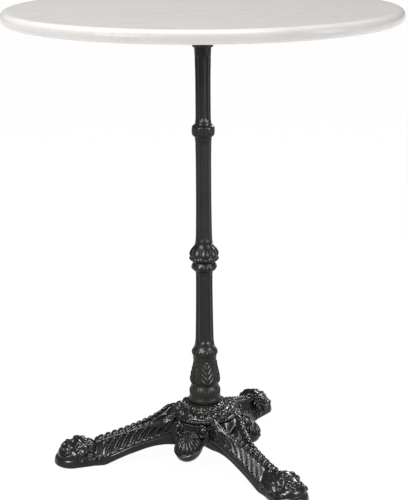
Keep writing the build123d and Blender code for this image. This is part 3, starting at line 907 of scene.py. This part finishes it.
def build_pendant():
    """A fluted shell in a plain lip, hung from a ribbed neck between two scrolls."""
    clay = Clay((33, -33, 15), (95, 33, 82), 0.62)
    s, e, z = clay.axes()
    # shell: an egg whose outer end points down, with lobes that fan out from its neck
    u = (s - BUD[0]) * math.cos(BUD_TILT) - (z - BUD[2]) * math.sin(BUD_TILT)
    w = (s - BUD[0]) * math.sin(BUD_TILT) + (z - BUD[2]) * math.cos(BUD_TILT)
    egg = ellipsoid(u, e, w, BUD_RADII, 1e-4)
    pole = np.array((0.34, 0, 0.94))
    rise = ((s - BUD[0]) * pole[0] + (z - BUD[2]) * pole[2]) / 22.0
    out = (s - BUD[0]) * pole[2] - (z - BUD[2]) * pole[0]
    spin = np.arctan2(e, out)
    lobe = np.abs(np.cos(spin * LOBES / 2)) ** 0.6 * 3.0
    cup = smooth_step(rise, 0.10, 0.16)
    tips = smooth_step(rise, 0.14, 0.30) * (1 - smooth_step(rise, 0.86, 0.94))
    lip = np.exp(-(((rise - 0.055) / 0.05) ** 2)) * 1.1
    clay.join(egg + 2.3 * cup - lobe * tips - lip)
    # neck, with upright ribs on its face and sides
    face = curve(z, [52, 58, 66, 72, 78], [63, 60.5, 58, 57, 56.5])
    ribs = 0.9 * np.cos(e * 2 * math.pi / 3.3)
    neck = rounded(s - face - ribs, np.abs(e) - 16.5, 3)
    neck = rounded(neck, np.maximum(z - HUB_UNDER, 46 - z), 0.6)
    clay.join(rounded(neck, 40 - s, 1), soft=1.5)
    # row of upright beads round the top of the shell
    for k in range(-5, 6):
        a = math.radians(k * 17)
        place = (63.5 + 9.5 * math.cos(a), 15.5 * math.sin(a), 59.0 + 1.5 * math.cos(a))
        clay.blob(place, (2.0, 1.75, 3.1), soft=0.4, along=(math.cos(a), math.sin(a), 0))
    # scrolls: a smooth boss with a rolled crescent on its inner side and a bead at the crescent's foot
    for sign in (-1, 1):
        centre = np.array((56.5, 21.5 * sign, 69.0))
        clay.blob(centre, (6.2, 6.4, 6.4), soft=1.5)
        ring = []
        for k in range(13):
            a = math.radians(75 + 17.5 * k)
            ring.append(centre + (2.6, sign * 8.4 * math.cos(a), 8.4 * math.sin(a)))
        clay.curl(ring, np.sin(np.linspace(0.45, 2.75, 13)) * 2.5, soft=0.5)
        clay.blob(centre + (3.4, -sign * 1.4, -9.4), (3.2, 3.2, 3.2), soft=0.4)
        # leaf that sweeps from the boss down to the shell's side
        stem = centre + (-3.0, sign * 4.0, -4.0)
        belly = np.array((54.5, 26.5 * sign, 55.0))
        foot = np.array((60.0, 21.5 * sign, 44.0))
        clay.curl([stem, belly, foot], (4.5, 4.8, 2.2), soft=1.2)
        for shift in (-3.0, 0.4, 3.6):
            over = (4.0 - abs(shift) * 0.5, sign * shift, 0)
            tip = foot + (2.0, sign * shift * 0.3, 0)
            clay.curl([stem + over, belly + over, tip], (1.3, 1.5, 0.8), soft=0.5)
    reach = np.sqrt(s * s + e * e)
    clay.cut(np.maximum(reach - (RIM + 0.2), HUB_UNDER - 0.02 - z))
    return clay.skin()


def three_castings(name, stands_for, points, faces, first_turn):
    """Three iron pieces of one shape, a third of a turn apart round the column."""
    for k in (1, 2, 3):
        turned = turn_points(points, first_turn + 120 * (k - 1))
        make_piece(f"{name}_{k}", turned, faces, IRON, [f"{stands_for}_{k}"])


three_castings("bud_pendant", "pendant", *build_pendant(), first_turn=0)

# ------------------------------ legs

# A place on a leg is s, its distance from the column's axis, e, how far it is to one side, and its height z.
dice = random.Random(7)
FOOT_TIP = 243.2
HALF = 20.0  # half the leg's width
BOLT_SPOTS = (28, 44)
BOLT_HOLE_R = 4.4
GLIDE_S = 211
GLIDE_ROOM_R = 15.2
GLIDE_TOP = 4.0
GLIDE_PROUD = 1.0  # the casting stops this far above the floor
# how far out the rope edges, the lower edge and the moulding lie, and how high
ROPE_S = (52, 58, 66, 71, 87, 103, 116, 130, 145, 159, 172)
ROPE_E = (23.5, 22.5, 21.0, 19.4, 13.6, 8.8, 6.6, 5.2, 4.4, 4.0, 3.6)
ROPE_Z = (83.5, 81.5, 77, 74, 67.2, 61.2, 56.6, 51.8, 47.6, 43.4, 39.2)
UNDER_S = (0, 40, 47, 60, 71, 84, 97, 112, 127, 143, 155, 163)
UNDER_Z = (29.5, 30.0, 30.3, 31.8, 31.6, 30, 26.8, 21.8, 16.6, 10.0, 4.6, 1.0)
MOULD_S = (0, 40, 57.6, 93, 120, 149, 165)
MOULD_Z = (52, 52, 50.5, 41.6, 33.6, 21.5, 14)
PITCH = 13.0  # from one carved leaf to the next


def build_leg():
    """An arched leg with rope edges, carved leaves and a paw foot, pointing along +X."""
    clay = Clay((4, -34, -1), (FOOT_TIP + 3, 34, 89), 0.93)
    s, e, z = clay.axes()
    side = np.abs(e)
    rope_e, rope_z = curve(s, ROPE_S, ROPE_E, 8), curve(s, ROPE_S, ROPE_Z, 8)
    under, mould = curve(s, UNDER_S, UNDER_Z, 8), curve(s, MOULD_S, MOULD_Z, 8)

    # arched body: plain band, leaf panel leaning in to the rope edges
    panel_top = rope_z - 2.0
    v = np.clip((z - mould) / (panel_top - mould), 0, 1)
    base_e = HALF - 1.6 * np.clip((z - under) / (mould - under), 0, 1)
    plain = base_e + (rope_e + 2.6 - HALF + 1.6) * v - 1.2 * np.sin(v * math.pi)
    rise = z - mould
    slant = (s + 0.15 * rise + 0.032 * rise * rise) / PITCH
    phase = slant - np.floor(slant)
    # each leaf swells to a rounded ridge with a sharp midrib
    leaf = np.sin(phase * math.pi) ** 0.7
    carve = leaf * 4.8 + np.exp(-(((phase - 0.5) / 0.07) ** 2)) * 0.9 - 3.2
    on_panel = smooth_step(v, 0.06, 0.16) * (1 - smooth_step(v, 0.86, 0.96)) * smooth_step(s, 60, 66)
    lean = plain + carve * on_panel * (1 - smooth_step(s, 158, 166))
    lines = np.exp(-((rise / 1.3) ** 2)) * 0.8 + np.exp(-(((rise + 4.4) / 1.3) ** 2)) * 0.8
    lean = lean + 1.5 * lines * smooth_step(s, 38, 44) * (1 - smooth_step(s, 150, 160))
    # a fan of leaf ribs at the root, spreading from a point under the hub's rim
    fan_s, fan_z = s - 47.0, z - 77.0
    fan = np.arctan2(-fan_z, fan_s)
    fan_r = np.sqrt(fan_s**2 + fan_z**2)
    fold = np.abs(np.sin(fan * 6.5 + 0.25 * np.sin(fan_r / 5))) ** 0.7 * 3.6 - 1.0
    on_fan = smooth_step(fan_r, 3, 8) * (1 - smooth_step(fan_r, 23 + 5 * np.cos(fan * 6.5) ** 2, 30))
    on_fan = on_fan * smooth_step(rise, 1.5, 4)
    lean = lean + fold * on_fan + 1.5 * on_fan
    flank = (side - lean) * 0.9
    depth = curve(s, [0, 52, 60, 71, 103, 130, 155], [6.5, 6.5, 22, 22, 12, 7, 4.0])
    valley = rope_z - 1.0 - (1 - np.clip(side / rope_e, 0, 1)) * depth
    body = rounded(rounded(flank, z - valley, 1.0), under - z, 1.2)
    clay.join(np.maximum(body, s - 176))

    # fins: smooth plates that carry the crests up beside the hub
    fin_e = curve(s, [46, 58, 66, 80], [21.6, 21.0, 20.0, 16.5])
    fin_top = curve(s, [44, 49, 52, 60, 70, 84], [84.0, 87.0, 86.4, 82.4, 76.6, 69], 3)
    fin = np.abs(side - fin_e) - (1.5 + 0.06 * np.clip(82 - z, 0, 20))
    fin = rounded(rounded(fin, z - fin_top, 1.2), 62 - z, 1)
    clay.join(rounded(fin, np.maximum(46 - s, s - 80), 1.2), soft=2.0)

    # thin crests, and on the inner faces below them a row of slanted lumps that grow towards the foot
    for sign in (-1, 1):
        crest = []
        for at in np.linspace(56, 173, 30):
            drop = 2.6 * min(1.0, max(0.0, (at - 62) / 14))
            crest_e = np.interp(at, ROPE_S, ROPE_E) + 1.0 + 0.5 * drop
            crest.append((at, sign * crest_e, np.interp(at, ROPE_S, ROPE_Z) + 0.6 - drop))
        clay.curl(crest, [1.6] * 30, soft=0.6)
    at, step = 62.0, 8.2
    while at < 171:
        re, rz = np.interp(at, ROPE_S, ROPE_E), np.interp(at, ROPE_S, ROPE_Z)
        de = np.interp(at + 4, ROPE_S, ROPE_E) - np.interp(at - 4, ROPE_S, ROPE_E)
        dz = np.interp(at + 4, ROPE_S, ROPE_Z) - np.interp(at - 4, ROPE_S, ROPE_Z)
        size = 0.62 + 0.38 * min(1.0, (at - 62) / 55)
        for sign in (-1, 1):
            along = np.array((8.0, sign * (de - 0.8), dz - 0.8))
            place = (at, sign * max(re - 1.6, 2.6), rz - 3.0 + 2.8 * size)
            clay.blob(place, (5.9 * size, 4.0 * size, 4.8 * size), soft=0.25, along=along)
        at += step
        step *= 1.03

    # a bead at each leaf's foot
    for at in np.arange(54.0, 158, 12.5):
        mz = np.interp(at, MOULD_S, MOULD_Z)
        for sign in (-1, 1):
            clay.blob((at, sign * (HALF - 1.0), mz + 2.4), (2.1, 2.0, 2.1), soft=0.4)

    # hollow underneath, the channel under the hub and the opening between the fins
    crown = np.minimum(valley - 5.0, np.where(s < 62, HUB_UNDER - 7.0, 200))
    wall = np.where(s < 62, HALF - 6, plain - 6.4)
    hollow = rounded((side - wall) * 0.93, z - crown, 2.0)
    clay.cut(rounded(hollow, s - 160, 2.0), soft=1.0)
    gap = np.maximum(side - np.clip(rope_e - 6.0, 1.0, 14), np.maximum(62.0 - s, s - 87))
    clay.cut(rounded(gap, 20 - z, 1.0), soft=1.5)

    root_leaves(clay)
    build_foot(clay)

    # room for the hub, the mitres against the neighbours, bolt holes and the glide's recess
    reach = np.sqrt(s * s + e * e)
    clay.cut(np.maximum(reach - (RIM + 0.3), HUB_UNDER - z), soft=0.3)
    clay.cut(reach - (BOSS_R + 0.5))
    clay.cut((s * math.sqrt(3) - side) / 2 - 0.2)
    for spot in BOLT_SPOTS:
        hole = np.sqrt((s - spot) ** 2 + e**2) - BOLT_HOLE_R
        clay.cut(np.maximum(hole, np.abs(z - HUB_UNDER) - 9))
    clay.cut(np.maximum(np.sqrt((s - GLIDE_S) ** 2 + e**2) - GLIDE_ROOM_R, z - GLIDE_TOP))
    clay.cut(z - GLIDE_PROUD)
    return clay.skin()


def root_leaves(clay):
    """Bright-edged leaf ridges that curve down from the hub's rim, and a leaf that fills each corner."""
    for sign in (-1, 1):
        for k in range(3):
            top = np.array((49.0 + 1.5 * k, sign * 23.0, 75.5 + 0.4 * k))
            middle = np.array((54.5 + 2.0 * k, sign * 25.0, 74.0 - 1.2 * k))
            low = np.array((59.0 + 4.0 * k, sign * 24.0, 69.0 - 2.5 * k))
            clay.curl([top, middle, low], (1.0, 1.5, 0.9), soft=0.3)
        corner = np.array((41.0, sign * 22.0, 68.0))
        low = np.array((37.0, sign * 23.5, 44.0))
        clay.curl([corner, (corner + low) / 2 + (2.0, sign * 2.5, 0), low], (4.0, 5.2, 3.0), soft=1.5)
        for shift in (-3.4, 0.6, 4.4):
            over = np.array((shift, sign * 4.2, 0))
            middle = (corner + low) / 2 + over + (2.0, sign * 2.6, 0)
            clay.curl([corner + over, middle, low + over * 0.7], (1.2, 1.5, 0.8), soft=0.5)


def build_foot(clay):
    """The paw and its pad, pressed onto the end of the leg."""
    window = clay.window((148, -34, -1), (FOOT_TIP + 3, 34, 60))
    s, e, z = clay.axes(window)
    # pad: the plan is the hull of a small and a large circle, and the sides round in
    t = np.clip((s - 167) / (213.0 - 167), 0, 1)
    plan = np.sqrt((s - (167 + 46 * t)) ** 2 + e * e) - (18.8 + (29.8 - 18.8) * t**0.8)
    swell = 3.2 * (np.clip(z - 3, 0, 30) / 14) ** 2
    clay.join(rounded(plan + swell, np.maximum(1.0 - z, z - 16.5), 4.5), window, soft=2)
    # mass of the paw: a broad knuckle behind, a lower one in front, and the ankle
    clay.blob((203.5, 0, 20), (18.5, 26.5, 22.5), soft=3)
    clay.blob((202.5, 0, 32), (10.5, 15.5, 12.6), soft=3)
    clay.blob((219.0, 0, 26), (11.0, 15.0, 12.2), soft=3)
    clay.blob((186, 0, 13), (20, 19, 14.5), soft=3)
    clay.blob((220.5, 0, 18), (16.5, 23.5, 13), soft=0.8)
    # locks of hair that lie over the knuckle and the front lobes
    for middle, radii, rings, width in (
        (np.array((203.0, 0, 20.0)), np.array((18.5, 26.0, 22.6)), ((24, 5), (52, 8), (80, 10)), 5.0),
        (np.array((220.0, 0, 26.0)), np.array((11.0, 17.0, 12.0)), ((34, 4), (72, 7)), 3.8),
    ):
        for tilt, count in rings:
            for k in range(count):
                a = 2 * math.pi * (k + 0.5 * (tilt > 40)) / count + 0.1 * dice.random()
                spots = []
                for more, sink in ((-15, 3.0), (-3, 2.0), (9, 2.0), (20, 3.6)):
                    t = math.radians(tilt + more)
                    turn = a + math.radians(more * 1.2)
                    way = np.array((math.sin(t) * math.cos(turn), math.sin(t) * math.sin(turn), math.cos(t)))
                    spots.append(middle + way * (radii - sink))
                clay.curl(spots, (width * 0.5, width * 0.9, width, width * 0.45), soft=0.5)
    for sign in (-1, 1):
        centre = np.array((216.0, sign * 24.5, 17.0))
        clay.blob(centre - (0, sign * 3.0, 0), (11.5, 4.6, 7.5), soft=1.2)
        for k in range(4):
            size = 11.0 - 2.6 * k
            arc = []
            for m in range(11):
                a = math.radians(10 + 16 * m)
                rise = 0.62 * size * math.sin(a) - 1.5
                arc.append(centre + (size * math.cos(a), sign * (0.4 + 0.7 * k), rise))
            clay.curl(arc, np.sin(np.linspace(0.5, 2.64, 11)) * 1.5, soft=0.4)
    # leaf sections that fan back over the ankle
    for sign in (-1, 1):
        for k in range(5):
            a = math.radians(12 + 26 * k)
            top = (189.5 - 2.0 * math.cos(a), sign * 20.0 * math.sin(a) * 0.9, 20 + 17.5 * math.cos(a))
            low = (176.0 + 1.5 * k, sign * (4.5 + 17.0 * math.sin(a)) * 0.85, 17 + 13.0 * math.cos(a))
            middle = np.array((183.0, (top[1] + low[1]) / 2 + sign * 1.0, (top[2] + low[2]) / 2 + 0.6))
            clay.curl([top, middle, low], (3.4, 3.0, 1.4), soft=0.8)
    # rolled curls on the flanks
    for sign in (-1, 1):
        curls = ((199, 26.4, 15.5, 6.6, 1), (187.0, 21.5, 14.5, 5.8, -1))
        for cs, ce, cz, size, spin in curls:
            centre = np.array((cs, sign * ce, cz))
            clay.blob(centre - (0, sign * 3.5, 0), (size, 5.0, size * 0.92), soft=1.8)
            path = []
            for k in range(17):
                a = math.radians(200 - spin * 30 * k)
                r = size * (1 - 0.050 * k)
                path.append(centre + (r * math.cos(a), sign * (0.3 + 0.12 * k), r * math.sin(a) * 0.92))
            clay.curl(path, np.linspace(1.9, 1.15, 17), soft=0.6)
        # two tufts that sweep back from the paw to the leg
        for start_s, start_e in ((181, 21.0), (173, 19.6)):
            start = np.array((start_s, sign * start_e, 6.0))
            end = start + (-7.0, -sign * 1.2, 13.0)
            clay.curl([start, (start + end) / 2 + (2.4, sign * 1.0, 0), end], (3.2, 2.8, 1.2), soft=1.0)
    # last coil of the rope, rolled over the instep
    for sign in (-1, 1):
        clay.blob((172.5, sign * 5.0, 36.2), (6.6, 5.0, 5.2), soft=0.8, along=(1, sign * 0.5, -0.9))


three_castings("paw_leg", "leg", *build_leg(), first_turn=60)

# ------------------------------ floor, light and camera

floor_mesh = bpy.data.meshes.new("floor")
FLOOR = 30.0
floor_mesh.from_pydata(
    [(-FLOOR, -FLOOR, 0), (FLOOR, -FLOOR, 0), (FLOOR, FLOOR, 0), (-FLOOR, FLOOR, 0)], [], [(0, 1, 2, 3)]
)
floor = bpy.data.objects.new("floor", floor_mesh)
bpy.context.scene.collection.objects.link(floor)
floor_paint, floor_tree, floor_shader = new_material("studio_floor")
# most of the floor's white is its own glow, so it stays as pale as paper under any lamp
FLOOR_LOOK = {
    "Base Color": (0.12, 0.12, 0.12, 1),
    "Roughness": 0.9,
    "Specular IOR Level": 0.1,
    "Emission Color": (1, 1, 1, 1),
    "Emission Strength": 0.96,
}
plug(floor_tree, floor_shader.inputs, FLOOR_LOOK)
floor_mesh.materials.append(floor_paint)

world = bpy.data.worlds.new("studio")
world.use_nodes = True
world.node_tree.nodes["Background"].inputs["Color"].default_value = (1, 1, 1, 1)
world.node_tree.nodes["Background"].inputs["Strength"].default_value = 0.18
bpy.context.scene.world = world


def soft_light(name, place, target, size, power, only=None):
    """A rectangular area light that faces a target; it may light only one group of pieces."""
    data = bpy.data.lights.new(name, "AREA")
    data.shape = "RECTANGLE"
    data.size, data.size_y = size
    data.energy = power
    light = bpy.data.objects.new(name, data)
    light.location = place
    light.rotation_mode = "QUATERNION"
    light.rotation_quaternion = (Vector(target) - Vector(place)).to_track_quat("-Z", "Y")
    bpy.context.scene.collection.objects.link(light)
    if only is not None:
        light.light_linking.receiver_collection = only


def pieces_of(name, *materials):
    """A collection of the pieces that have one of these materials."""
    group = bpy.data.collections.new(name)
    for piece in bpy.context.scene.objects:
        if piece.type == "MESH" and piece.data.materials and piece.data.materials[0] in materials:
            group.objects.link(piece)
    return group


# the black iron has lamps of its own, which would wash out the white top, and the top has a soft one
iron_pieces = pieces_of("iron_pieces", IRON, SATIN)
top_pieces = pieces_of("top_pieces", MARBLE)
soft_light("top_wash", (-0.7, 0.1, 2.5), (0, 0, 0.7), (2.2, 2.2), 46, top_pieces)
soft_light("key", (-1.9, -1.6, 1.15), (0, 0, 0.15), (1.1, 1.5), 17)
soft_light("fill", (2.2, -1.1, 0.95), (0, 0, 0.15), (0.8, 1.3), 11)
soft_light("top", (0.3, -0.9, 3.2), (0, 0, 0.3), (1.6, 1.6), 32)
soft_light("iron_key", (-1.5, -1.7, 1.7), (0, 0, 0.1), (0.8, 0.8), 160, iron_pieces)
soft_light("iron_fill", (1.9, -1.6, 1.2), (0, 0, 0.1), (0.6, 0.8), 90, iron_pieces)
soft_light("iron_top", (-0.5, -1.3, 2.6), (0, 0, 0.1), (0.7, 0.7), 130, iron_pieces)
soft_light("iron_back", (1.4, 1.8, 1.5), (0, 0, 0.1), (0.8, 0.8), 90, iron_pieces)

scene = bpy.context.scene
scene.view_settings.view_transform = "Standard"
scene.view_settings.look = "None"
scene.view_settings.exposure = 0.0
scene.view_settings.gamma = 1.0

# the camera stands a little to the left of the front, above the top, and looks slightly down
CAMERA_TURN = math.radians(-96.05)
CAMERA_DISTANCE = 2.162
CAMERA_HEIGHT = 0.9333
CAMERA_DOWN = math.radians(15.205)
CAMERA_ROLL = math.radians(-0.385)
camera_data = bpy.data.cameras.new("camera")
camera_data.sensor_fit = "AUTO"
camera_data.sensor_width = 36.0
camera_data.lens = 103.74
camera = bpy.data.objects.new("camera", camera_data)
out = Vector((math.cos(CAMERA_TURN), math.sin(CAMERA_TURN), 0))
camera.location = out * CAMERA_DISTANCE + Vector((0, 0, CAMERA_HEIGHT))
gaze = -out * math.cos(CAMERA_DOWN) - Vector((0, 0, math.sin(CAMERA_DOWN)))
camera.rotation_mode = "QUATERNION"
roll = Matrix.Rotation(CAMERA_ROLL, 3, "Z").to_quaternion()
camera.rotation_quaternion = gaze.to_track_quat("-Z", "Y") @ roll
scene.collection.objects.link(camera)
scene.camera = camera
